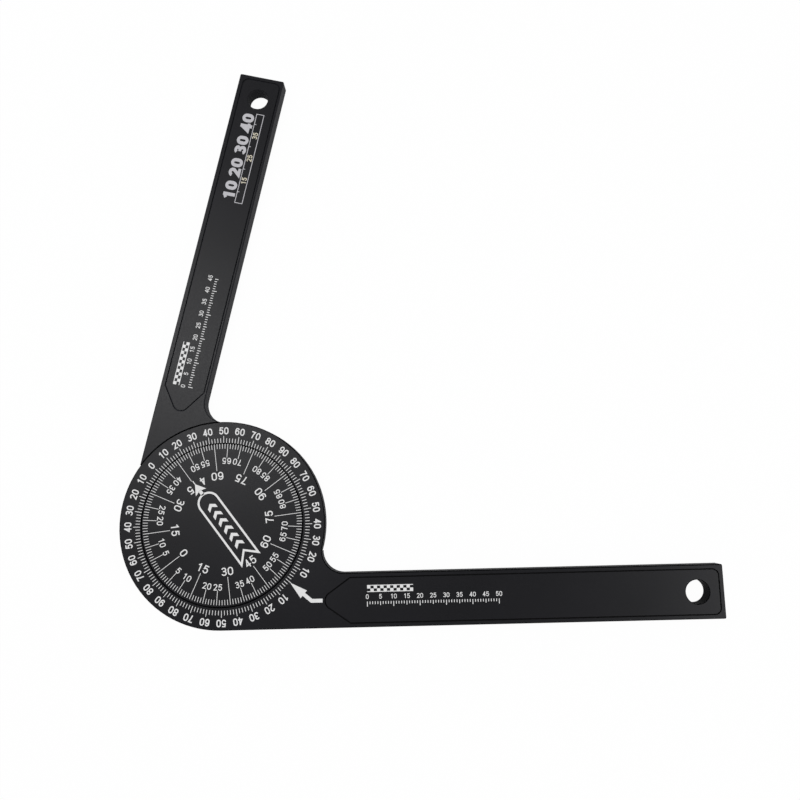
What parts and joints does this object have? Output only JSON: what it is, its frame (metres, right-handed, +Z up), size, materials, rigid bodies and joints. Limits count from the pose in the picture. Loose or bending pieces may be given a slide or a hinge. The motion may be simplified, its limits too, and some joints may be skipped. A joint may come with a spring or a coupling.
{
  "type": "angle finder with arms",
  "caption": "Flat aluminium protractor with two long arms on a round dial, for taking a corner's angle and setting a mitre saw.",
  "frame": {"origin": "on the pivot axis, in the plane of the underside that the tool lies on", "axes": "+Z up along the pivot axis, out of the graduated face; +X along the base arm, away from the dial"},
  "size_m": [0.2306, 0.2263, 0.0064],
  "materials": {
    "base_arm": "black anodised, fine bead blast",
    "swing_arm": "black anodised, fine bead blast",
    "inner_dial": "black anodised, fine bead blast",
    "base_plate": "black anodised sheet, satin",
    "swing_plate": "black anodised sheet, satin",
    "base_plate_film": "clear acrylic adhesive film",
    "swing_plate_film": "clear acrylic adhesive film",
    "pivot_bush": "natural acetal",
    "slip_washer": "natural nylon sheet",
    "disc_spring": "spring steel, lightly oiled",
    "dial_screws": "black oxide",
    "dial_pins": "ground steel"
  },
  "bodies": {
    "base": {"base_arm": "base_arm", "base_plate": "base_plate", "base_plate_film": "base_plate_film", "pivot_bush": "pivot_bush", "disc_spring": "disc_spring"},
    "swing": {"swing_arm": "swing_arm", "inner_dial": "inner_dial", "swing_plate": "swing_plate", "swing_plate_film": "swing_plate_film", "slip_washer": "slip_washer", "dial_screws": "dial_screws", "dial_pins": "dial_pins"}
  },
  "joints": [
    {"name": "arm_swing", "type": "hinge", "parent": "base", "child": "swing", "pos_m": [0, 0, 0], "axis": [0, 0, 1], "range_deg": [-86.75, 118.25]}
  ]
}
